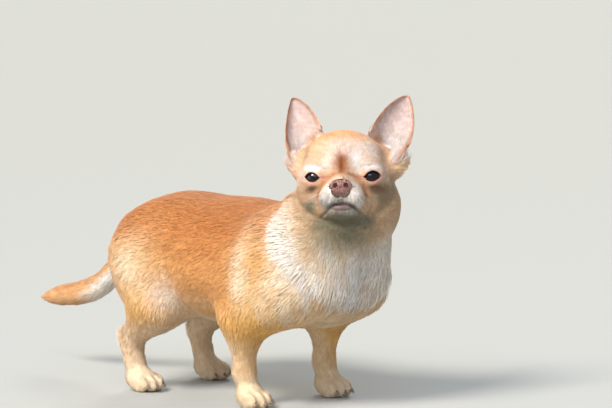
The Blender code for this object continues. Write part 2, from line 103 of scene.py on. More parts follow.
# Lines on the left half of the face seen from in front, in millimetres out and up
JAW_LINE = [(41, 0), (40, -9), (37, -17), (30, -26), (19.5, -33), (8, -36), (0, -36.5)]
MOUTH_LINE = [(0, -23.6), (4.5, -24.2), (8.5, -25.5), (11.5, -27.4), (15, -29.6), (17, -31)]
TEAR_LINE = [(6.0, 1.0), (9.5, -0.8), (13.4, -4.2), (16.6, -9.5), (17.8, -14.5), (18.6, -23)]
LID_CREASE = [(12.5, 3.5), (17, 7.6), (24, 8.6), (31, 5.5)]
BAG_CREASE = [(14, -5), (19, -8.6), (25, -8.8), (31, -5)]
BROW_CREASE = [(0, 4), (0, 22)]
FOREHEAD_CREASE = [(3.5, 12), (8, 20)]
LIP_SPLIT = [(0, -19), (0, -23.4)]
CHEEK_CREASE = [(24, -14), (23, -24), (19, -33)]
STRIPE_LINE = [(0, 5), (0, 12)]

# The skin: its mesh size, the swelling that closes the gaps, and its depth under each coat
SKIN_VOXEL = 1.0 * MM
SWELL = 0.3 * MM
BODY_COAT = 1.6 * MM
TAIL_COAT = 1.3 * MM
HEAD_COAT = 0.8 * MM
PAW_COAT = 0.7 * MM
EAR_COAT = 0.1 * MM
# Out and back by turns, so that the relaxed surface doesn't shrink
RELAX_STEPS = (0.6, -0.62)

# The coat
TUFTS = 146000
TUFTS_A_PIECE = 18600
TUFT_FACES = np.array([
    (0, 2, 1), (0, 1, 4), (0, 4, 3), (1, 2, 5), (1, 5, 4), (2, 0, 3), (2, 3, 5),
    (3, 4, 6), (4, 5, 6), (5, 3, 6),
])
# The three corners of a tuft across its width and over the skin, in widths
TUFT_CORNERS = ((-0.5, 0), (0.5, 0), (0, 0.7))
TUFT_FOOT = 0.9
TUFT_FLATNESS = 0.25
# How deep a tuft is rooted, where it bends, and its lift there and at the tip
ROOT_DEPTH = 0.4 * MM
BEND_PLACE = 0.45
BEND_LIFT = 0.85
TIP_LIFT = 0.72
# The radius in metres of the arc that tufts bend over in, and the angle that they sway by
TUFT_ARC = 0.07
SWAY = 0.13
# Each tuft is darker at its root, paler at its tip and never quite white
ROOT_SHADE = 0.84
TIP_SHADE = 1.1
PALEST = 0.95
WARMTH = (1.0, 0.97, 0.92)
SOFTNESS = 0.88
# The size of a tuft's patch on the unwrapped skin, and its corners in that patch
PATCH = 0.003
TUFT_PATCH = np.array([(0, 0), (1, 0), (0, 1), (0.1, 0.3), (0.9, 0.3), (0.4, 0.9), (0.5, 1)])
SKIN_MAP_TRIANGLES = 14000

# Whiskers on each side, their depth and thickness in millimetres, their droop and their rings
WHISKERS = 9
BROW_WHISKERS = 2
WHISKER_ROOT = 1
WHISKER_RADIUS = 0.07
WHISKER_DROOP = 0.22
WHISKER_RINGS = (0, 0.25, 0.5, 0.75)

# Colours of the coat and skin, linear
SADDLE = (0.46, 0.156, 0.037)
FAWN = (0.66, 0.3, 0.095)
AMBER = (0.8, 0.41, 0.085)
LIGHT_GOLD = (0.93, 0.62, 0.28)
GOLD = (0.76, 0.43, 0.15)
CREAM = (0.86, 0.68, 0.46)
WHITE = (0.88, 0.82, 0.74)
GREY = (0.5, 0.47, 0.43)
TAN = (0.7, 0.41, 0.215)
FACE_CREAM = (0.77, 0.55, 0.44)
FACE_WHITE = (0.9, 0.84, 0.78)
# Olive of dark-tipped fur on the temples and cheeks, also used as painted shade along the jaw and on the
# neck
OLIVE = (0.3, 0.2, 0.105)
# Painted shade: the dark of shadow on the throat, under the lower lip and on the cheeks
PAINTED_SHADE = (0.17, 0.15, 0.09)
STRIPE = (0.25, 0.064, 0.01)
# Brown of the bags under the eyes, deepened with painted shade under the lower lids
BAG_BROWN_AND_SHADE = (0.15, 0.08, 0.04)
TEAR = (0.42, 0.17, 0.065)
RIM_ORANGE = (0.6, 0.23, 0.08)
EAR_PINK = (0.54, 0.41, 0.365)
LID_PINK = (0.62, 0.26, 0.21)
LID_DARK = (0.05, 0.025, 0.02)
CORNER_RED = (0.5, 0.17, 0.13)
LIP = (0.08, 0.042, 0.042)
LIP_PINK = (0.21, 0.098, 0.096)
NOSE_PINK = (0.46, 0.215, 0.18)
NOSE_DARK = (0.115, 0.04, 0.028)
NOSE_RIM = (0.58, 0.28, 0.23)
# Painted shade in the openings of the nostrils
NOSTRIL_SHADE = (0.045, 0.008, 0.006)
EYE_WHITE = (0.58, 0.48, 0.44)
IRIS = (0.03, 0.013, 0.008)
PUPIL = (0.006, 0.004, 0.004)
# Streaks in the coat change blue more than red
STREAK_TINT = (0.8, 1.0, 1.2)

# Colours of the claws, the floor and the sky, linear
CLAW_DARK = (0.09, 0.055, 0.04, 1)
CLAW_PALE = (0.30, 0.20, 0.14, 1)
FLOOR_GREY = (0.40, 0.41, 0.39, 1)
SKY_BLUE = (0.86, 0.90, 0.95, 1)
SKY_STRENGTH = 0.62

# The camera, and the middle of its picture, right and up of the body's origin
CAMERA_AZIMUTH = radians(42)
CAMERA_ELEVATION = radians(6)
CAMERA_DISTANCE = 2.6
SENSOR_WIDTH = 36
PHOTO_WIDTH = 612
MM_A_PIXEL = 0.83
VIEW_MIDDLE = (5.31 * CM, 15.77 * CM)

# What the lamps point at, and half the side of the floor
LIT_PLACE = Vector((0, 0, 0.1))
FLOOR_SIZE = 40

FLESH = ["torso", "neck", "head", "tail"]
for _side in SIDES:
    FLESH += [f"{part}_{_side}" for part in ("foreleg", "forepaw", "hindleg", "hindpaw", "ear")]
CLAWS = [f"{end}claw_{side}_{toe}" for end in ("fore", "hind") for side in SIDES for toe in range(1, 5)]


def middle(node):
    low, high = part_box(node)
    return (Vector(low) + Vector(high)) / 2


HEAD_ORIGIN = (middle("eye_left") + middle("eye_right")) / 2
HEAD_TURN = (Matrix.Rotation(HEAD_YAW, 3, "Z") @ Matrix.Rotation(-HEAD_PITCH, 3, "Y")
             @ Matrix.Rotation(HEAD_ROLL, 3, "X"))
HEAD = Matrix.Translation(HEAD_ORIGIN) @ HEAD_TURN.to_4x4()
BODY_ORIGIN = HEAD_ORIGIN - HEAD_PLACE


def in_head(points):
    """Forward, left and up of the point between the eyeballs, in millimetres."""
    return (points - np.array(HEAD_ORIGIN)) @ np.array(HEAD_TURN) / MM


def in_body(points):
    """Forward, left and up in the body's design frame, in centimetres."""
    return (points - np.array(BODY_ORIGIN)) / CM


def face_half(head):
    """The face seen from in front, out and up, with both halves laid on the left one."""
    return np.column_stack((np.abs(head[:, 1]), head[:, 2]))


def on_side(place, side):
    """A place on the head's left, moved to the given side."""
    return (place[0], side * place[1], place[2])


def step(low, high, value):
    """A smooth step from zero to one."""
    share = np.clip((value - low) / (high - low), 0, 1)
    return share * share * (3 - 2 * share)


def blend(value, new, share):
    return value + (new - value) * share


def unit(vectors):
    return vectors / np.linalg.norm(vectors, axis=1)[:, None]


def spot(places, centre, radii):
    """One at the centre, fading out over the radii."""
    return np.exp(-(((places - centre) / radii) ** 2).sum(1))


def line_distance(places, line):
    """Distance from each place to a bent line, with the line's points in the same space."""
    line = np.array(line, float)
    nearest = np.full(len(places), 1e9)
    for a, b in zip(line[:-1], line[1:]):
        along = np.clip((places - a) @ (b - a) / ((b - a) @ (b - a)), 0, 1)
        nearest = np.minimum(nearest, np.linalg.norm(places - a - along[:, None] * (b - a), axis=1))
    return nearest


def near_line(places, line, width):
    """One on a bent line, fading out over the width."""
    return np.exp(-(line_distance(places, line) / width) ** 2)


def ripple(points, size, seed):
    """A smooth wandering value from about -1 to 1 with waves about that size in metres."""
    generator = np.random.default_rng(seed)
    total = np.zeros(len(points))
    for _ in range(6):
        wave = generator.normal(size=3)
        wave *= 2 * pi / size / np.linalg.norm(wave) * generator.uniform(0.6, 1.5)
        bend = generator.normal(size=3) * 0.6 / size
        total += np.sin(points @ wave + generator.uniform(0, 6.3) + np.sin(points @ bend * 3) * 1.5)
    return total / 3.2


def set_all(made, **values):
    """Sets several values of a modifier or a lamp."""
    for key, value in values.items():
        setattr(made, key, value)


def add_object(name, data):
    made = bpy.data.objects.new(name, data)
    bpy.context.scene.collection.objects.link(made)
    return made


def object_from(shape, name):
    """A mesh object made from a bmesh, which is freed."""
    mesh = bpy.data.meshes.new(name)
    shape.to_mesh(mesh)
    shape.free()
    return add_object(name, mesh)


def mesh_object(name, points, faces):
    """A mesh object from an array of points and an array of triangles."""
    mesh = bpy.data.meshes.new(name)
    mesh.vertices.add(len(points))
    mesh.vertices.foreach_set("co", np.asarray(points, np.float32).ravel())
    mesh.loops.add(faces.size)
    mesh.loops.foreach_set("vertex_index", faces.ravel().astype(np.int32))
    mesh.polygons.add(len(faces))
    mesh.polygons.foreach_set("loop_start", np.arange(0, faces.size, 3, dtype=np.int32))
    mesh.update(calc_edges=True)
    return add_object(name, mesh)


def from_points(made, what):
    """What each point of a mesh object holds, such as its place or its normal."""
    found = np.empty(len(made.data.vertices) * 3, np.float32)
    made.data.vertices.foreach_get(what, found)
    return found.reshape(-1, 3).astype(float)


def points_of(made):
    return from_points(made, "co")


def normals_of(made):
    return from_points(made, "normal")


def set_points(made, points):
    made.data.vertices.foreach_set("co", points.astype(np.float32).ravel())
    made.data.update()


def paint(made, colours):
    """Stores one colour per point as the attribute that the materials read."""
    layer = made.data.color_attributes.new("markings_and_painted_light", "FLOAT_COLOR", "POINT")
    whole = np.ones((len(colours), 4), np.float32)
    whole[:, :3] = colours
    layer.data.foreach_set("color", whole.ravel())


def evaluated(source, name):
    """A new object with the source's modifiers applied. The source is removed."""
    graph = bpy.context.evaluated_depsgraph_get()
    made = add_object(name, bpy.data.meshes.new_from_object(source.evaluated_get(graph)))
    bpy.data.objects.remove(source)
    return made


def copy_of_nodes(names, name, swell=0):
    """One mesh of copies of those nodes, each swollen a little."""
    shape = bmesh.new()
    for node in names:
        copy = add_object("copy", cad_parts[node].data.copy())
        if swell:
            set_all(copy.modifiers.new("Displace", "DISPLACE"), strength=swell, mid_level=0)
        copy = evaluated(copy, "copy")
        shape.from_mesh(copy.data)
        bpy.data.objects.remove(copy)
    return object_from(shape, name)


def rounded_copy(names, name, levels):
    """One mesh of copies of those nodes, rounded by subdivision."""
    made = copy_of_nodes(names, name)
    set_all(made.modifiers.new("Subdivision", "SUBSURF"), levels=levels, render_levels=levels)
    made = evaluated(made, name)
    made.data.shade_smooth()
    return made


def ear_share(head):
    """One on the free part of the ears."""
    f, l, u = head.T
    out = np.abs(l - 2)
    off_skull = ((f + 22) / 35) ** 2 + (l / 37) ** 2 + ((u - 13) / 32) ** 2
    near = step(-80, -65, f)
    return step(1.0, 1.25, off_skull) * step(10, 16, u) * step(12, 18, out) * near


def ear_inside(normals, ears):
    """One on the inner side of the ears, which faces forward."""
    return step(0.1, 0.6, normals @ np.array(HEAD_TURN.col[0])) * ears


def bezier(line, t):
    a, b, c, d = (np.array(point, float) for point in line)
    s = 1 - t
    return a * s**3 + b * 3 * s * s * t + c * 3 * s * t * t + d * t**3


def ear_rim_share(head):
    """One along the two edges of each ear."""
    share = np.zeros(len(head))
    for side, swing in EAR_SWINGS:
        outer = [(-9, 37, 13), (-8, swing, 20), (-27, swing, 56), EAR_TIP]
        inner = [(-14, 17, 35), (-18, 20, 48), (-30, 33, 72), EAR_TIP]
        for line in (outer, inner):
            leaned = [(f, side * out + EAR_LEAN * (up - EAR_FOOT) / EAR_HEIGHT, up) for f, out, up in line]
            drawn = [bezier(leaned, t) for t in np.linspace(0.12, 1, 14)]
            share = np.maximum(share, near_line(head, drawn, 2.3))
    return share


def along_neck(body, start):
    """How far up the neck each place lies from the start, in centimetres."""
    return (body - start) @ NECK_AXIS


def head_share(body):
    """One on the head, none on the body, with the change in the upper neck."""
    return step(-1.2, 1.2, along_neck(body, HEAD_START))


def paw_share(body):
    return 1 - step(1.8, 3.4, body[:, 2])


def leg_share(body):
    return 1 - step(5.8, 8.2, body[:, 2] - 0.2 * np.abs(body[:, 1]))


def tail_share(body):
    return step(11.4, 12.8, -body[:, 0])


def eye_middle(side):
    return np.array((0, side * EYE_SPREAD, 0))


def eye_distance(head, side):
    return np.linalg.norm(head - eye_middle(side), axis=1)


def seen_from_eye(head, side):
    """The way an eye faces, and how far each place lies along that way and across it."""
    eye = head - eye_middle(side)
    faces = np.array((cos(EYE_OUTWARD), side * sin(EYE_OUTWARD), 0))
    away = eye @ faces
    return faces, away, eye - away[:, None] * faces


def taper(level):
    """The height of a slit between the lids at a share of its half width."""
    return np.sqrt(1 - LID_TAPER * level**2)


def eye_reach(head, side):
    """How far out from the middle of an eye's slit, one at its rim; far where it faces away."""
    _, away, across = seen_from_eye(head, side)
    wide, high = SLITS[side]
    wide = wide * (1 - LID_SLIDE)
    slanted = across[:, 2] - LID_SLANT * side * across[:, 1]
    high = high * taper(np.clip(np.abs(across[:, 1]) / wide, 0, 1))
    return np.where(away > 2, np.hypot(across[:, 1] / wide, slanted / high), 9)


def mouth_share(head):
    """One on the bare skin that shows between the lips."""
    inside = np.hypot(head[:, 1] / 9.0, (head[:, 2] + 27.0) / 2.9)
    return (1 - step(0.85, 1.15, inside)) * step(8, 12, head[:, 0])


def narrow_lids(made):
    """Slides the lids over the eyeballs, so that each opening tapers to two points."""
    head = in_head(points_of(made))
    for side in BOTH:
        faces, away, across = seen_from_eye(head, side)
        wide, high = SLITS[side]
        narrowed = taper(np.clip(np.abs(across[:, 1]) / wide, 0, 1))
        slant = LID_SLANT * side * across[:, 1]
        above = across[:, 2] - slant
        reach = np.hypot(across[:, 1] / wide, above / high)
        near = (1 - step(1.1, 2.6, reach)) * step(1, 3, away)
        moved = across.copy()
        moved[:, 2] = slant + above * (1 - near * (1 - narrowed))
        moved[:, 2] -= LID_DROP * near * (across[:, 2] > slant)
        moved[:, :2] *= (1 - LID_SLIDE * near)[:, None]
        moved += away[:, None] * faces
        size = eye_distance(head, side) / np.maximum(np.linalg.norm(moved, axis=1), 1e-6)
        head = moved * size[:, None] + eye_middle(side)
    set_points(made, head * MM @ np.array(HEAD_TURN).T + np.array(HEAD_ORIGIN))


def relax(made, share, rounds):
    """Evens the surface out where the share is high, without shrinking it."""
    edges = np.empty(len(made.data.edges) * 2, np.int32)
    made.data.edges.foreach_get("vertices", edges)
    edges = edges.reshape(-1, 2)
    points = points_of(made)
    count = np.bincount(edges.ravel(), minlength=len(points))[:, None]
    for turn in range(rounds):
        total = np.empty_like(points)
        for axis in range(3):
            there = np.bincount(edges[:, 0], points[edges[:, 1], axis], len(points))
            total[:, axis] = there + np.bincount(edges[:, 1], points[edges[:, 0], axis], len(points))
        points = points + share[:, None] * RELAX_STEPS[turn % 2] * (total / count - points)
    set_points(made, points)


def sculpt(made):
    """Raises and presses small forms along the skin's normals, in millimetres."""
    points, normals = points_of(made), normals_of(made)
    head, body = in_head(points), in_body(points)
    face = face_half(head)
    front = step(-4, 4, head[:, 0])
    under_jaw = step(-40, -30, head[:, 0]) * (1 - step(8, 14, head[:, 0]))
    lift = np.zeros(len(points))
    for line, width, depth, where in (
        (MOUTH_LINE, 0.9, 0.9, front),
        (LID_CREASE, 1.0, 0.55, front),
        (BAG_CREASE, 1.2, 0.5, front),
        (BROW_CREASE, 2.2, 0.8, front),
        (FOREHEAD_CREASE, 1.6, 0.35, front),
        (TEAR_LINE, 1.4, 0.8, front),
        (JAW_LINE, 3.2, 2.6, under_jaw),
        (LIP_SPLIT, 0.8, 0.7, front),
        (CHEEK_CREASE, 2.5, 0.8, front),
    ):
        lift -= depth * near_line(face, line, width) * where
    for side in BOTH:
        lift += 0.7 * spot(head, (5, side * 22, -6.6), (7, 6, 1.6))
        lift += 0.5 * spot(head, (20, side * 11, -17), (9, 6, 5))
    side_on = body[:, [0, 2]]
    flank = 1 - leg_share(body)
    lift += 1.3 * near_line(side_on, RUFF_LINE, 0.55) * flank
    for line, width, depth in (
        (RUFF_LINE[1:] + np.array((-0.9, -0.3)), 0.5, 0.7),
        (SHOULDER_CREASE, 0.6, 0.9),
        (THIGH_CREASE, 0.9, 0.9),
    ):
        lift -= depth * near_line(side_on, line, width) * flank
    lift += 0.3 * ripple(points, 0.035, 3) * (1 - head_share(body))
    for side, swing in EAR_SWINGS:
        lift += 2.2 * spot(head, (-25, side * 22.5, 40.5), (6, 5, 5))
        lift -= 3.6 * spot(head, (-18, side * (swing - 5), 5), (14, 8, 8))
    set_points(made, points + normals * (lift * MM)[:, None])


def make_skin():
    """One smooth skin over all the flesh, moved in by the depth of the coat that covers it."""
    rough = copy_of_nodes(FLESH, "skin", SWELL)
    set_all(rough.modifiers.new("Remesh", "REMESH"), mode="VOXEL", voxel_size=SKIN_VOXEL)
    made = evaluated(rough, "skin")
    points = points_of(made)
    head, body = in_head(points), in_body(points)
    ears, on_head = ear_share(head), head_share(body)

    # The sockets and the mouth keep their edges
    socket = np.zeros(len(points))
    for side in BOTH:
        socket = np.maximum(socket, 1 - step(11, 14, eye_distance(head, side)))
    mouth = near_line(face_half(head), MOUTH_LINE, 3) * step(-4, 4, head[:, 0])
    fine = np.maximum(socket, mouth)
    relax(made, 1 - 0.85 * fine, 4)
    relax(made, (1 - on_head) * (1 - 0.6 * paw_share(body)) * (1 - 0.8 * tail_share(body)), 24)
    relax(made, on_head * (1 - fine) * (1 - ears), 8)
    relax(made, np.exp(-((along_neck(body, NECK_SEAM) / 0.5) ** 2)), 30)

    coat = np.full(len(points), BODY_COAT)
    for depth, share in (
        (PAW_COAT, paw_share(body)), (TAIL_COAT, tail_share(body)), (HEAD_COAT, on_head), (EAR_COAT, ears),
    ):
        coat = blend(coat, depth, share)
    coat *= 1 - fine
    set_points(made, points_of(made) - normals_of(made) * (coat + SWELL)[:, None])
    relax(made, 1 - fine, 2)
    narrow_lids(made)
    sculpt(made)
    made.data.shade_smooth()
    return made


class Tint:
    """The colours of many points, painted over in soft layers."""

    def __init__(self, colour, count):
        self.colours = np.tile(colour, (count, 1))

    def wash(self, colour, share):
        """Draws the colours towards a new one, by a share for each point."""
        self.colours = blend(self.colours, np.array(colour), np.clip(share, 0, 1)[:, None])

    def dab(self, colour, strength, places, centre, radii, where=1):
        self.wash(colour, strength * spot(places, centre, radii) * where)

    def stroke(self, colour, strength, places, line, width, where=1):
        self.wash(colour, strength * near_line(places, line, width) * where)


def markings_and_painted_light(points, normals):
    """The colour of the coat at each point, the same for the skin and for the tufts, with painted shade
    and painted highlights in places.
    """
    body, head = in_body(points), in_head(points)
    x, y, z = body.T
    side_on = body[:, [0, 2]]
    soft = ripple(points, 0.05, 5) * 0.6 + ripple(points, 0.02, 6) * 0.4
    fine = ripple(points, 0.008, 7)
    uneven = 1 + 0.4 * soft
    legs, tail = leg_share(body), tail_share(body)

    # The saddle, the flanks, the shoulders and the belly
    tint = Tint(FAWN, len(points))
    upper = step(10.6, 14.2, z + soft * 0.9 - 0.25 * np.maximum(x - 3, 0))
    saddle = upper * (1 - step(6.5, 9.5, x + soft))
    tint.wash(SADDLE, 0.85 * saddle * (1 - 0.10 * spot(side_on, (-9.2, 12.0), (1.8, 2.6))))
    tint.dab(GOLD, 0.7, side_on, (-6.0, 10.2), (3.0, 3.2))
    # Painted highlight: cream where the light catches the thigh
    tint.dab(CREAM, 0.95, side_on, (-6.3, 10.8), (1.7, 2.4), uneven)
    tint.dab(CREAM, 0.30, side_on, (-9.0, 11.6), (1.3, 2.4))
    tint.dab(SADDLE, 0.5, side_on, (-7.4, 14.6), (2.4, 1.8))
    tint.dab(GOLD, 0.85, side_on, (8.2, 9.6), (2.4, 4.2))
    # Painted highlight: a cream band down the side of the shoulder, where a fold of the coat catches the
    # light
    tint.dab(CREAM, 1.0, side_on, (6.2, 11.2), (1.0, 3.2), uneven)
    tint.dab(LIGHT_GOLD, 0.8, side_on, (10.2, 8.6), (2.4, 1.9))
    tint.wash(CREAM, 0.5 * (1 - step(6.4, 9.2, z + soft)) * (1 - legs))
    belly = 1 - step(5.9, 8.0, z + 0.35 * np.abs(y) - 1.2 + soft * 0.5)
    tint.wash(WHITE, 0.85 * belly * (np.abs(x) < 12))
    for side in BOTH:
        tint.dab(WHITE, 0.75, body, (-3.4, side * 4.9, 8.0), (1.5, 2.2, 2.0))
    tint.dab(AMBER, 0.45, side_on, (-6.8, 7.2), (1.8, 1.8))

    # The ruff: a pale band down the side of the neck, with the white bib in front of it
    ahead = step(-1.0, 1.5, (x - 9.0) * 0.9 + (12.5 - z) * 0.45 * (z < 13))
    tint.wash(CREAM, 0.75 * ahead * (1 + 0.3 * fine))
    tint.stroke(WHITE, 0.8, side_on, RUFF_LINE, 0.9, 1 + 0.3 * soft)
    bib = step(11.6, 13.4, x + 0.25 * (14 - np.abs(z - 12)) - 0.15 * np.abs(y) - 2.2)
    locks = ripple(points * (1, 1, 0.2), 0.012, 14)
    tint.wash(WHITE, 0.65 * bib)
    tint.wash(CREAM, 0.75 * bib * step(1.2, 4.2, -y))
    off_band = 1 - near_line(side_on, RUFF_LINE, 0.8)
    tint.wash(TAN, 0.65 * ahead * step(-0.1, 0.9, locks) * off_band)
    tint.wash(FACE_WHITE, 0.5 * ahead * step(0.2, 1.0, -locks))
    tint.wash(GOLD, 0.5 * step(10, 12, x) * (1 - step(8.4, 10.4, z + 0.2 * soft)))
    tint.dab(FAWN, 0.8, body, (7.6, 1.2, 17.2), (2.6, 3.2, 2.2))

    # The legs, the paws and the tail, which is white underneath
    tint.wash(GOLD, 0.6 * legs)
    tint.dab(AMBER, 0.85, side_on, (6.8, 6.2), (2.2, 2.4))
    tint.wash(CREAM, 0.6 * step(0.2, 0.9, -normals[:, 1] * np.sign(y)) * legs)
    tint.wash(CREAM, 0.75 * paw_share(body))
    tint.wash(FAWN, tail)
    tint.wash(CREAM, 0.18 * tail)
    tint.wash(SADDLE, 0.4 * tail * step(0.2, 0.9, normals[:, 2]))
    underneath = 1 - step(-0.15, 0.35, normals[:, 2])
    tint.wash(WHITE, 0.95 * tail * underneath * (1 - step(15.5, 19, -x)))

    head_markings(tint, points, normals, body, head)
    across = points * (0.28, 1, 1) + legs[:, None] * points * (0.5, 0, -0.7)
    streaks = ripple(across, 0.0036, 9) * 0.7 + ripple(across, 0.012, 10) * 0.3
    strength = 0.10 + 0.06 * head_share(body)
    varied = 1 + (strength * streaks)[:, None] * STREAK_TINT
    return np.clip(tint.colours * varied, 0, 1)


def head_markings(tint, points, normals, body, head):
    """Paints the head and the throat over the colours of the body, painted shade and painted light
    included.
    """
    fine = ripple(points, 0.006, 8)
    speckle = np.clip(0.5 + 0.8 * ripple(points, 0.0035, 12), 0, 1)
    on_head = head_share(body)
    skull_markings(tint, head, on_head, fine)
    cheek_colour_and_shade(tint, head, fine)
    muzzle_markings(tint, head, speckle)
    throat_colour_and_shade(tint, body, head, on_head)
    lid_markings(tint, head)
    ear_markings(tint, normals, head)
    tint.colours *= (1 + 0.06 * fine)[:, None]


def in_front(head):
    """One on the front of the head, fading out behind the eyes."""
    return step(-12, 0, head[:, 0])


def skull_markings(tint, head, on_head, fine):
    f, l, u = head.T
    face, front = face_half(head), in_front(head)
    tint.wash(TAN, 0.95 * on_head)
    tint.wash(FAWN, 0.7 * on_head * (1 - step(-46, -26, f)))
    tint.dab(FACE_CREAM, 0.9, face, (4, 22), (17, 13), front)
    tint.dab(OLIVE, 0.55, head, (-4, -28, 20), (14, 4.5, 11), 1 + 0.5 * fine)
    tint.dab(OLIVE, 0.50, head, (-4, 33, 20), (14, 5, 12), 1 + 0.5 * fine)
    tint.wash(FAWN, 0.85 * on_head * step(22, 36, u))
    tint.dab(FACE_WHITE, 0.75 + 0.25 * np.sign(l), face, (10.5, 12), (5, 9), front)
    tint.dab(FACE_WHITE, 1.0, face, (23, 6.6), (9, 3.2), front)
    tint.dab(FACE_CREAM, 0.8, face, (33, 1), (4, 9), front)
    tint.dab(FACE_CREAM, 0.8, face, (0, 24), (9, 7), front)
    # Painted light: the left forehead painted paler and the right forehead painted darker, against the
    # side shading that the key lamp gives
    tint.dab(FACE_WHITE, 0.6, head, (4, 22, 20), (10, 9, 9))
    tint.dab(TAN, 0.7, head, (8, -17, 21), (10, 10, 8))
    tint.stroke(STRIPE, 1.0, face, STRIPE_LINE, 5.6, front)


def cheek_colour_and_shade(tint, head, fine):
    f, l, _ = head.T
    face, front = face_half(head), in_front(head)
    seen = head[:, 1:]
    # Olive fur with dark tips on the outer cheeks; the heavier olive on the left cheek is partly painted
    # shade, since that cheek lies in shade
    cheek = spot(face, (33, -12), (7, 13)) * step(-30, -10, f)
    tint.wash(OLIVE, (0.45 + 0.25 * np.sign(l)) * cheek * (1 + 0.5 * fine))
    tint.dab(OLIVE, 0.75, head, (2, 28, -15), (12, 6, 6), 1 + 0.3 * fine)
    tint.dab(OLIVE, 0.9, head, (-8, 38, -6), (14, 6, 10), 1 + 0.9 * fine)
    tint.dab(FACE_CREAM, 0.6, head, (4, -23, -18), (10, 5, 7))
    # Painted shade on the left cheek; the bags under the eyes are brown fur deepened with painted shade,
    # most on the left
    tint.dab(PAINTED_SHADE, 0.85, seen, (28.5, -14.0), (4.5, 6.0), front)
    tint.dab(PAINTED_SHADE, 0.45, seen, (23.5, -19.5), (4.5, 5.0), front)
    tint.dab(BAG_BROWN_AND_SHADE, 1.0, seen, (-24, -9.0), (6.5, 2.8), front)
    tint.dab(BAG_BROWN_AND_SHADE, 1.3, seen, (26, -9.6), (8.0, 3.4), front)
    # Painted shade on the right lower cheek and along the jaw line
    tint.dab(PAINTED_SHADE, 1.1, head, (3, -26, -22), (10, 7, 6))
    tint.stroke(OLIVE, 0.6, face, JAW_LINE, 4, step(-40, -30, f) * (1 - step(10, 16, f)))


def muzzle_markings(tint, head, speckle):
    f, _, u = head.T
    face = face_half(head)
    out = face[:, 0]
    chin = step(0, 10, f)
    muzzle = step(6, 16, f) * (1 - step(0.75, 1.15, np.hypot(out / 18, (u + 19) / 15)))
    tint.wash(WHITE, 0.78 * muzzle)
    tint.dab(GREY, 0.35, head, (29, -13, -18), (9, 6, 7), muzzle)
    tint.wash(GREY, 0.9 * chin * step(12, 22, -u) * muzzle * speckle)
    tint.dab(GREY, 0.7, face, (9, -31), (13, 4.5), chin * speckle)
    tint.stroke(TEAR, 0.9, face, TEAR_LINE, 2.0, in_front(head) * step(-23, -14, u))
    tint.stroke(LIP, 1.0, face, MOUTH_LINE, 1.9, step(0, 8, f) * (1 - 0.6 * step(9, 14, out)))
    tint.wash(LIP, 0.85 * mouth_share(head))
    tint.dab(LIP_PINK, 0.9, head[:, 1:], (0, -27.6), (4.2, 1.5), step(8, 12, f))
    # Painted shade under the lower lip and the chin
    under_lip = (1 - step(2.5, 6.5, np.abs(u + 35.2))) * (1 - step(18, 26, out))
    tint.wash(PAINTED_SHADE, 0.95 * step(-4, 4, f) * under_lip)


def throat_colour_and_shade(tint, body, head, on_head):
    tint.wash(CREAM, 0.6 * on_head * step(44, 50, -head[:, 2]))
    # Painted shade: grey in the middle of the chest under the head
    tint.dab(GREY, 0.60, body, (13.9, -1.6, 11.4), (3.0, 2.6, 2.6))
    tint.dab(WHITE, 0.90, body, (14.4, 1.7, 13.2), (2.2, 1.4, 1.6))
    # Painted shadow that the head casts on the throat and on the left side of the neck
    tint.dab(PAINTED_SHADE, 1.0, body, (13.4, -2.6, 14.7), (3.2, 2.9, 1.9))
    tint.dab(OLIVE, 0.60, body, (14.7, 2.8, 15.5), (2.6, 2.2, 1.9))
    for side, swing in EAR_SWINGS:
        tint.dab(FACE_CREAM, 0.8, head, (-18, side * (swing - 9), 12), (11, 9, 11))
    # Cream-orange fluff at the left ear's outer root, painted brighter than on the right as painted light
    # against the head's shadow there
    tint.dab(LIGHT_GOLD, 1.2, head, (-12, 49, 14), (9, 6, 10))


def lid_markings(tint, head):
    u = head[:, 2]
    for side in BOTH:
        reach = eye_reach(head, side)
        lower = step(-1, 1.5, -u) * 0.5 + 0.4
        tint.wash(LID_PINK, lower * (1 - step(1.2, 1.75, reach)))
        inner = (side * (EYE_SPREAD - SLITS[side][0] - 1.6), -1.2)
        tint.dab(CORNER_RED, 0.95, head[:, 1:], inner, (2.4, 1.4), in_front(head))
        tint.wash(LID_DARK, 0.95 * (1 - step(1.02, 1.16, reach)))


def ear_markings(tint, normals, head):
    ears = ear_share(head)
    inside = ear_inside(normals, ears)
    tint.wash(FAWN, ears)
    tint.wash(EAR_PINK, inside)
    tint.wash(WHITE, 0.4 * inside * (1 - step(30, 52, head[:, 2])))
    tint.wash(RIM_ORANGE, 0.85 * ear_rim_share(head) * ears)
    for side in BOTH:
        tint.dab(FACE_CREAM, 1.1, head, on_side(EAR_NOTCH, side), (10, 6.5, 7))


def tail_direction(body):
    """The direction of the tail's line beside each point, towards the tip."""
    line = np.array(TAIL_LINE)
    ahead = line[1:] - line[:-1]
    middles = (line[1:] + line[:-1]) / 2
    away = np.linalg.norm(body[:, None, [0, 2]] - middles[None], axis=2)
    weight = np.exp(-(away / 1.6) ** 2) + 1e-9
    found = unit((weight[:, :, None] * ahead[None]).sum(1))
    return np.column_stack((found[:, 0], 0 * found[:, 0], found[:, 1]))


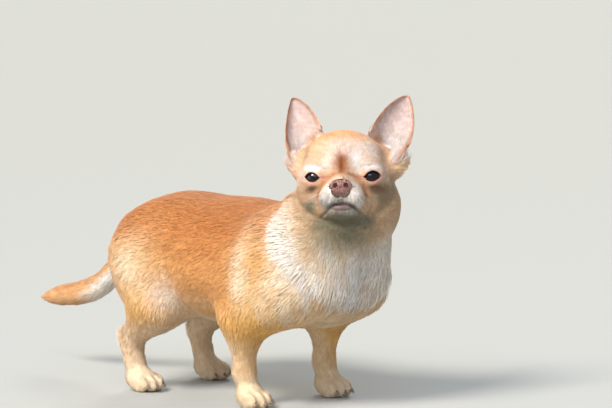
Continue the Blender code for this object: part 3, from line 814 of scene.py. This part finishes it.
def comb(points, normals):
    """The direction that the hair lies in, along the skin."""
    body, head = in_body(points), in_head(points)
    x, y, z = body.T
    count = len(x)

    def turned(flow, new, share):
        return flow * (1 - share)[:, None] + new * share[:, None]

    flow = np.tile((-1.0, 0, -0.30), (count, 1))
    flow[:, 2] -= 0.06 * np.maximum(16 - z, 0)
    chest = step(10.5, 13.5, x)
    flow += chest[:, None] * (0.6, 0, -1.6)
    flow[:, 1] += chest * np.sign(y) * 0.3
    flow = turned(flow, np.array((-0.25, 0, -1.0)), leg_share(body))
    flow = turned(flow, np.array((0.8, 0, -0.6)), paw_share(body))
    flow = turned(flow, tail_direction(body), tail_share(body))

    # On the head the hair runs back from the nose, and up on the ears
    back = unit(head - (36, 0, -6)) + (-0.5, 0, 0)
    back[:, 2] += 0.5 * step(0, 20, head[:, 2]) - 0.5 * step(0, 20, -head[:, 2])
    up = np.tile((-0.35, 0, 1.0), (count, 1))
    up[:, 1] = 0.3 * np.sign(head[:, 1])
    back = turned(back, up, ear_share(head))
    flow = turned(flow, back @ np.array(HEAD_TURN).T, head_share(body))
    for axis, seed in enumerate((21, 22, 23)):
        flow[:, axis] += 0.07 * ripple(points, 0.030, seed)
    flow -= (flow * normals).sum(1)[:, None] * normals
    return flow / np.maximum(np.linalg.norm(flow, axis=1), 1e-6)[:, None]


def coat_sizes(points, normals):
    """Length, width and lift of the tufts in metres, and their density, at each point."""
    body, head = in_body(points), in_head(points)
    x = body[:, 0]
    legs, paws, tail = leg_share(body), paw_share(body), tail_share(body)
    on_head, ears = head_share(body), ear_share(head)
    face = step(-40, 10, head[:, 0])
    inside = ear_inside(normals, ears)
    rim = ear_rim_share(head) * ears

    # Length, width and lift in millimetres, first on the body and then on each part
    ruff = near_line(body[:, [0, 2]], RUFF_LINE, 0.9)
    width = np.full(len(x), 0.48)
    sizes = [9.5 + 2.0 * step(9.5, 12.5, x) + 3 * ruff, width, BODY_COAT / MM * 0.85 + 0.4 * ruff]
    for share, *wanted in (
        (legs, 6.5, 0.48, 1.2),
        (tail, 8.0 - 4.0 * step(20.5, 23.5, -x), 0.48, 1.3),
        (paws, 3.0, 0.42, 0.6),
        (on_head, 6.5 - 3.8 * face, 0.46 - 0.12 * face, HEAD_COAT / MM * 0.9),
        (ears, 3.0, 0.34, 0.35),
    ):
        sizes = [blend(size, new, share) for size, new in zip(sizes, wanted)]
    length, width, lift = sizes
    density = 1 + 0.6 * tail + (1.4 * paws + 0.3 * legs) + (1.8 + 1.2 * face) * on_head

    # Shorter hair on the ears' rims, longer hair at their outer roots, at the notch and low inside
    length *= 1 - 0.5 * rim
    lift *= 1 - 0.7 * rim
    fluff = np.zeros(len(x))
    for side, swing in EAR_SWINGS:
        fluff = np.maximum(fluff, spot(head, (-18, side * (swing - 9), 12), (12, 9, 11)))
    length += 4.5 * fluff
    lift += 0.9 * fluff
    for side in BOTH:
        notch = spot(head, on_side(EAR_NOTCH, side), (8, 6, 6))
        length += 1.5 * notch
        lift += 0.3 * notch
    low_inside = inside * (1 - step(24, 44, head[:, 2])) * step(12, 18, np.abs(head[:, 1]))
    length += 5.5 * low_inside
    lift += 1.6 * low_inside
    density *= 1 - 0.72 * inside * (1 - low_inside)

    # Bare places: the eyes, the tips of the ears, the nose, the mouth and the soles
    for side in BOTH:
        from_eye = eye_distance(head, side)
        density *= np.where((from_eye < 9.8) | (eye_reach(head, side) < 1.22), 0, 1)
        near_eye = 1 - step(9, 16, from_eye)
        length *= 1 - 0.5 * near_eye
        lift *= 1 - 0.4 * near_eye
        tip = on_side(EAR_TIP, side) + np.array((0, EAR_LEAN, 0))
        density *= np.linalg.norm(head - tip, axis=1) > BARE_EAR_TIP
    nose = np.linalg.norm((head - NOSE_MIDDLE) / NOSE_RADII, axis=1)
    density *= nose > 1
    lips = line_distance(face_half(head), MOUTH_LINE) < 0.8
    density *= np.where(lips & (head[:, 0] > 4), 0, 1)
    density *= np.where(mouth_share(head) > 0.4, 0, 1)
    density *= body[:, 2] > 0.15
    return length * MM, width * MM, lift * MM, density


def scatter(skin):
    """Seeded random places on the skin, more where the tufts are denser, and its normals there."""
    mesh = skin.data
    mesh.calc_loop_triangles()
    corners = np.empty(len(mesh.loop_triangles) * 3, np.int32)
    mesh.loop_triangles.foreach_get("vertices", corners)
    corners = corners.reshape(-1, 3)
    points, normals = points_of(skin), normals_of(skin)
    density = coat_sizes(points, normals)[3]
    a, b, c = (points[corners[:, k]] for k in range(3))
    area = np.linalg.norm(np.cross(b - a, c - a), axis=1) / 2
    weight = area * density[corners].min(1)
    picked = RANDOM.choice(len(corners), TUFTS, p=weight / weight.sum())
    r, s = RANDOM.random((2, TUFTS))
    flip = r + s > 1
    r, s = np.where(flip, 1 - r, r), np.where(flip, 1 - s, s)
    share = np.column_stack((1 - r - s, r, s))[:, :, None]
    roots = (points[corners[picked]] * share).sum(1)
    return roots, unit((normals[corners[picked]] * share).sum(1))


def skin_map(skin):
    """A coarse unwrapped copy of the skin, to look up places on it."""
    copy = add_object("skin_map", skin.data.copy())
    copy.data.calc_loop_triangles()
    ratio = SKIN_MAP_TRIANGLES / len(copy.data.loop_triangles)
    set_all(copy.modifiers.new("Decimate", "DECIMATE"), ratio=ratio, use_collapse_triangulate=True)
    copy = evaluated(copy, "skin_map")
    bpy.ops.object.select_all(action="DESELECT")
    bpy.context.view_layer.objects.active = copy
    copy.select_set(True)
    bpy.ops.object.mode_set(mode="EDIT")
    bpy.ops.mesh.select_all(action="SELECT")
    bpy.ops.uv.smart_project(angle_limit=radians(66), island_margin=0.002)
    bpy.ops.object.mode_set(mode="OBJECT")
    mesh = copy.data
    corners = np.array([poly.vertices[:] for poly in mesh.polygons])
    places = np.empty(len(mesh.loops) * 2, np.float32)
    mesh.uv_layers.active.data.foreach_get("uv", places)
    points = points_of(copy)
    bpy.data.objects.remove(copy)
    return points, corners, places.reshape(-1, 3, 2).astype(float)


def places_on_map(roots, skin):
    """Where each root lies on the unwrapped skin."""
    points, corners, places = skin_map(skin)
    tree = BVHTree.FromPolygons(points.tolist(), corners.tolist())
    found = [tree.find_nearest(root)[2] for root in roots.tolist()]
    a, b, c = (points[corners[found, k]] for k in range(3))
    ab, ac, ar = b - a, c - a, roots - a
    bb, bc, cc = (ab * ab).sum(1), (ab * ac).sum(1), (ac * ac).sum(1)
    rb, rc = (ar * ab).sum(1), (ar * ac).sum(1)
    scale = np.maximum(bb * cc - bc * bc, 1e-20)
    v = np.clip((cc * rb - bc * rc) / scale, 0, 1)
    w = np.clip((bb * rc - bc * rb) / scale, 0, 1)
    share = np.column_stack((np.clip(1 - v - w, 0, 1), v, w))
    share /= share.sum(1)[:, None]
    return (places[found] * share[:, :, None]).sum(1)


def grow_tufts(roots, normals):
    """The seven points of each closed three-sided tuft, bent over along the lie of the coat."""
    length, width, lift, _ = coat_sizes(roots, normals)
    lie = comb(roots, normals)
    side = np.cross(normals, lie)
    sway = RANDOM.normal(0, SWAY, TUFTS)[:, None]
    lie = lie * np.cos(sway) + side * np.sin(sway)
    side = np.cross(normals, lie)
    length = length * RANDOM.uniform(0.65, 1.25, TUFTS)
    length = length * (1 + 0.10 * ripple(roots, 0.012, 31))
    width = width * RANDOM.uniform(0.75, 1.3, TUFTS)
    stand = np.clip(1 + 0.07 * ripple(roots, 0.010, 32), 0.4, 1.8)
    lift = lift * stand * RANDOM.uniform(0.86, 1.04, TUFTS)

    def at(along, up):
        drop = (length * along) ** 2 / (2 * TUFT_ARC)
        return roots + lie * (length * along)[:, None] + normals * (up - drop)[:, None]

    start, bend, tip = at(0.0, -ROOT_DEPTH), at(BEND_PLACE, lift * BEND_LIFT), at(1.0, lift * TIP_LIFT)
    points = np.empty((TUFTS, 7, 3))
    for corner, (across, over) in enumerate(TUFT_CORNERS):
        sideways = side * (across * width)[:, None]
        upwards = normals * (over * width)[:, None] * TUFT_FLATNESS
        points[:, corner] = start + sideways * TUFT_FOOT + upwards
        points[:, 3 + corner] = bend + sideways + upwards
    points[:, 6] = tip
    points[:, :, 2] = np.maximum(points[:, :, 2], 0)
    return points


def tint_tufts(roots, normals):
    """The colours of each tuft's seven points, darker at the root and paler at the tip."""
    colours = markings_and_painted_light(roots, normals)
    shade = RANDOM.uniform(0.86, 1.10, TUFTS)[:, None]
    warm = np.array(WARMTH) ** RANDOM.normal(0, 1, TUFTS)[:, None]
    colours = np.clip(colours * shade * warm, 0, PALEST)
    tint = np.empty((TUFTS, 7, 3))
    tint[:, :3] = (colours * ROOT_SHADE)[:, None]
    tint[:, 3:6] = colours[:, None]
    tint[:, 6] = np.clip(colours * TIP_SHADE, 0, PALEST)
    return tint


def soft_normals(tufts, leans):
    """Normals drawn most of the way to the skin's own, so that the coat is lit as one surface."""
    out = tufts - tufts.mean(1, keepdims=True)
    out[:, 6] = 0
    length = np.maximum(np.linalg.norm(out, axis=2, keepdims=True), 1e-9)
    found = leans[:, None, :] * SOFTNESS + out / length * (1 - SOFTNESS) * 0.5
    return found / np.linalg.norm(found, axis=2, keepdims=True)


def grow_coat(skin, material):
    """The coat of tufts in several pieces, from the tail forward."""
    roots, normals = scatter(skin)
    order = np.argsort(roots[:, 0])
    roots, normals = roots[order], normals[order]
    points = grow_tufts(roots, normals)
    tint = tint_tufts(roots, normals)
    places = places_on_map(roots, skin)[:, None, :] + (TUFT_PATCH - 0.5) * PATCH
    soft = soft_normals(points, normals)
    pieces = []
    for number, first in enumerate(range(0, TUFTS, TUFTS_A_PIECE), 1):
        some = slice(first, first + TUFTS_A_PIECE)
        size = len(points[some])
        faces = (TUFT_FACES[None] + 7 * np.arange(size)[:, None, None]).reshape(-1, 3)
        piece = mesh_object(f"coat_{number}", points[some].reshape(-1, 3), faces)
        paint(piece, tint[some].reshape(-1, 3))
        layer = piece.data.uv_layers.new(name="OFBake")
        flat = places[some].reshape(-1, 2)[faces.ravel()]
        layer.data.foreach_set("uv", flat.astype(np.float32).ravel())
        piece.data.materials.append(material)
        piece.data.shade_smooth()
        piece.data.normals_split_custom_set_from_vertices(soft[some].reshape(-1, 3))
        pieces.append(piece)
    return pieces


def plan_whisker(side, number):
    """Where a whisker grows, the way it points, both in the head's frame, and its length."""
    on_brow = number - (WHISKERS - BROW_WHISKERS)
    if on_brow >= 0:
        root = (8, side * (17 + 4 * on_brow), 9.5)
        return root, (1, side * 0.3, 0.9), RANDOM.uniform(9, 12)
    back, down = RANDOM.uniform(0, 1, 2)
    root = (26 - 9 * back, side * (9 + 6 * back), -15.5 - 7 * down)
    lean = (0.75 - 0.6 * back, side, -0.25 - 0.5 * down)
    return root, lean, RANDOM.uniform(10, 16)


def grow_whiskers(skin, material):
    """A few stiff pale whiskers on the lips and over the eyes, each a thin curved spike."""
    points, faces = [], []
    ring = [(cos(turn), sin(turn)) for turn in (pi / 2, pi * 7 / 6, pi * 11 / 6)]
    droop = Vector((0, 0, -1))
    for side in BOTH:
        for number in range(WHISKERS):
            root, lean, reach = plan_whisker(side, number)
            start = skin.closest_point_on_mesh(HEAD @ (Vector(root) * MM))[1]
            ahead = (HEAD_TURN @ Vector(lean)).normalized()
            across = ahead.cross(droop).normalized()
            over = across.cross(ahead)

            def at(share):
                along = ahead * (reach * share - WHISKER_ROOT) * MM
                return start + along + droop * reach * share**2 * WHISKER_DROOP * MM

            first = len(points)
            for share in WHISKER_RINGS:
                radius = WHISKER_RADIUS * MM * (1 - 0.75 * share)
                points += [at(share) + (across * a + over * b) * radius for a, b in ring]
            points.append(at(1))
            faces.append((first, first + 1, first + 2))
            last = first + 3 * (len(WHISKER_RINGS) - 1)
            for here in range(first, last, 3):
                for k in range(3):
                    a, b = here + k, here + (k + 1) % 3
                    faces += [(a, a + 3, b + 3), (a, b + 3, b)]
            faces += [(last + k, last + 3, last + (k + 1) % 3) for k in range(3)]
    made = mesh_object("whiskers", np.array(points), np.array(faces))
    shape = bmesh.new()
    shape.from_mesh(made.data)
    bmesh.ops.recalc_face_normals(shape, faces=shape.faces)
    shape.to_mesh(made.data)
    shape.free()
    paint(made, np.tile(WHITE, (len(points), 1)))
    made.data.materials.append(material)
    made.data.shade_smooth()
    return made


def make_eye(side_name, side):
    """A ball with a dark iris and pupil that looks a little outwards, and a pale white."""
    shape = bmesh.new()
    bmesh.ops.create_uvsphere(shape, u_segments=64, v_segments=48, radius=EYE_RADIUS)
    made = object_from(shape, f"eyeball_{side_name}")
    gaze = GAZE[side]
    made.data.transform(Matrix.Rotation(gaze, 4, "Z") @ Matrix.Rotation(pi / 2, 4, "Y"))
    points = points_of(made)
    ahead = points @ np.array((cos(gaze), sin(gaze), 0))
    angle = np.degrees(np.arccos(np.clip(ahead / EYE_RADIUS, -1, 1)))
    tint = Tint(EYE_WHITE, len(points))
    tint.wash(IRIS, 1 - step(*IRIS_EDGE, angle))
    tint.wash(PUPIL, 1 - step(*PUPIL_EDGE, angle))
    centre = in_head(np.array([middle(f"eye_{side_name}")]))[0]
    place = np.array(HEAD @ Matrix.Translation(Vector(centre) * MM))
    set_points(made, points @ place[:3, :3].T + place[:3, 3])
    paint(made, tint.colours)
    made.data.shade_smooth()
    return made


def make_nose():
    made = rounded_copy(["nose"], "nose_leather", 2)
    points = points_of(made)
    head = in_head(points)
    tint = Tint(NOSE_PINK, len(points))
    tint.wash(NOSE_DARK, 0.8 * (1 - step(-17.0, -12.5, head[:, 2])))
    for side in BOTH:
        tint.dab(NOSE_RIM, 0.6, head, (34, side * 6.6, -10.5), (6, 2.0, 2.6))
        # Painted shade in the openings of the nostrils
        tint.dab(NOSTRIL_SHADE, 1.0, head, (30, side * 3.7, -10.9), (4.5, 2.2, 2.2))
    paint(made, tint.colours * (1 + 0.15 * ripple(points, 0.004, 41))[:, None])
    return made


def new_material(name, values):
    """A material with the given inputs of its shader set."""
    made = bpy.data.materials.new(name)
    made.use_nodes = True
    for key, value in values.items():
        shader_inputs(made)[key].default_value = value
    return made


def shader_inputs(made):
    return made.node_tree.nodes["Principled BSDF"].inputs


def add_texture(made, kind, scale):
    """A texture that lies still on the object."""
    tree = made.node_tree
    where = tree.nodes.new("ShaderNodeTexCoord")
    found = tree.nodes.new(kind)
    found.inputs["Scale"].default_value = scale
    tree.links.new(where.outputs["Object"], found.inputs["Vector"])
    return found


def add_noise(made, scale, detail=3.0):
    found = add_texture(made, "ShaderNodeTexNoise", scale)
    found.inputs["Detail"].default_value = detail
    return found.outputs["Fac"]


def add_bump(made, source, strength, distance):
    tree = made.node_tree
    bump = tree.nodes.new("ShaderNodeBump")
    bump.inputs["Strength"].default_value = strength
    bump.inputs["Distance"].default_value = distance
    tree.links.new(source, bump.inputs["Height"])
    tree.links.new(bump.outputs["Normal"], shader_inputs(made)["Normal"])


def painted_material(name, scale, amount, values):
    """A material coloured by the painted coat colours, painted shade and highlights included, varied by
    fine noise.
    """
    made = new_material(name, values)
    nodes, links = made.node_tree.nodes, made.node_tree.links
    attribute = nodes.new("ShaderNodeAttribute")
    attribute.attribute_name = "markings_and_painted_light"
    spread = nodes.new("ShaderNodeMapRange")
    spread.inputs["To Min"].default_value = 1 - amount
    spread.inputs["To Max"].default_value = 1 + amount
    links.new(add_noise(made, scale), spread.inputs["Value"])
    scaled = nodes.new("ShaderNodeVectorMath")
    scaled.operation = "SCALE"
    links.new(attribute.outputs["Color"], scaled.inputs[0])
    links.new(spread.outputs["Result"], scaled.inputs["Scale"])
    links.new(scaled.outputs["Vector"], shader_inputs(made)["Base Color"])
    return made


def skin_material():
    made = painted_material("skin", 500, 0.12, {
        "Roughness": 0.62,
        "Subsurface Weight": 0.06,
        "Subsurface Radius": (0.004, 0.0015, 0.0008),
    })
    add_bump(made, add_noise(made, 1400, 2), 0.35, 0.0004)
    return made


def coat_material():
    values = {"Roughness": 0.72, "Specular IOR Level": 0.2, "Sheen Weight": 0.15}
    return painted_material("coat", 900, 0.10, values)


def nose_material():
    made = painted_material("nose_leather", 900, 0.12, {"Roughness": 0.36, "Coat Weight": 0.25})
    cells = add_texture(made, "ShaderNodeTexVoronoi", 1500)
    add_bump(made, cells.outputs["Distance"], 0.3, 0.0002)
    return made


def eye_material():
    return painted_material("wet_eye", 900, 0.15, {"Roughness": 0.05, "Specular IOR Level": 0.35})


def claw_material():
    made = new_material("claw_horn", {"Roughness": 0.35})
    tree = made.node_tree
    grain = add_noise(made, 700)
    ramp = tree.nodes.new("ShaderNodeValToRGB")
    ramp.color_ramp.elements[0].color = CLAW_DARK
    ramp.color_ramp.elements[1].color = CLAW_PALE
    tree.links.new(grain, ramp.inputs["Fac"])
    tree.links.new(ramp.outputs["Color"], shader_inputs(made)["Base Color"])
    add_bump(made, grain, 0.2, 0.0002)
    return made


def set_camera():
    a, e = CAMERA_AZIMUTH, CAMERA_ELEVATION
    right = Vector((cos(a), sin(a), 0))
    up = Vector((-sin(a) * sin(e), cos(a) * sin(e), cos(e)))
    back = right.cross(up)
    data = bpy.data.cameras.new("camera")
    data.sensor_width = SENSOR_WIDTH
    data.lens = SENSOR_WIDTH * CAMERA_DISTANCE / (PHOTO_WIDTH * MM_A_PIXEL * MM)
    camera = add_object("camera", data)
    target = BODY_ORIGIN + right * VIEW_MIDDLE[0] + up * VIEW_MIDDLE[1]
    turn = Matrix((right, up, back)).transposed()
    camera.matrix_world = Matrix.Translation(target + back * CAMERA_DISTANCE) @ turn.to_4x4()
    bpy.context.scene.camera = camera


def add_lamp(name, kind, place, colour, **values):
    """A lamp that points at the dog."""
    data = bpy.data.lights.new(name, kind)
    set_all(data, color=colour, **values)
    lamp = add_object(name, data)
    lamp.location = place
    lamp.rotation_euler = (LIT_PLACE - Vector(place)).to_track_quat("-Z", "Y").to_euler()


def set_stage():
    """The floor, the lamps and the sky."""
    shape = bmesh.new()
    bmesh.ops.create_grid(shape, x_segments=1, y_segments=1, size=FLOOR_SIZE)
    floor = object_from(shape, "floor")
    floor.data.materials.append(new_material("floor_paint", {"Base Color": FLOOR_GREY, "Roughness": 0.9}))
    add_lamp("key", "SUN", (0.02, -1.35, 1.5), (1.0, 0.94, 0.86), energy=4.0, angle=radians(20))
    add_lamp("low", "SUN", (-0.8, -1.5, 0.35), (1.0, 0.92, 0.82), energy=0.7, angle=radians(40))
    add_lamp("rim", "SUN", (-1.0, 1.6, 1.5), (1.0, 0.97, 0.92), energy=1.2, angle=radians(25))
    window = {"shape": "RECTANGLE", "size": 1.3, "size_y": 0.7, "energy": 18}
    add_lamp("window", "AREA", (1.25, -1.55, 1.75), (0.55, 0.68, 1.0), **window)
    world = bpy.data.worlds.new("studio")
    world.use_nodes = True
    sky = world.node_tree.nodes["Background"]
    sky.inputs["Color"].default_value = SKY_BLUE
    sky.inputs["Strength"].default_value = SKY_STRENGTH
    bpy.context.scene.world = world
    bpy.context.scene.view_settings.view_transform = "Standard"


def main():
    set_camera()
    set_stage()
    skin = make_skin()
    paint(skin, markings_and_painted_light(points_of(skin), normals_of(skin)))
    skin.data.materials.append(skin_material())
    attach(skin, "root")
    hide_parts(*FLESH)
    hair = coat_material()
    for piece in [*grow_coat(skin, hair), grow_whiskers(skin, hair)]:
        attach(piece, "root")
    wet = eye_material()
    for side_name, side in SIDES.items():
        eye = make_eye(side_name, side)
        eye.data.materials.append(wet)
        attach(eye, "root")
        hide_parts(f"eye_{side_name}")
    nose = make_nose()
    nose.data.materials.append(nose_material())
    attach(nose, "root")
    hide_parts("nose")
    claws = rounded_copy(CLAWS, "claws", 1)
    claws.data.materials.append(claw_material())
    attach(claws, "root")
    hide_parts(*CLAWS)


main()
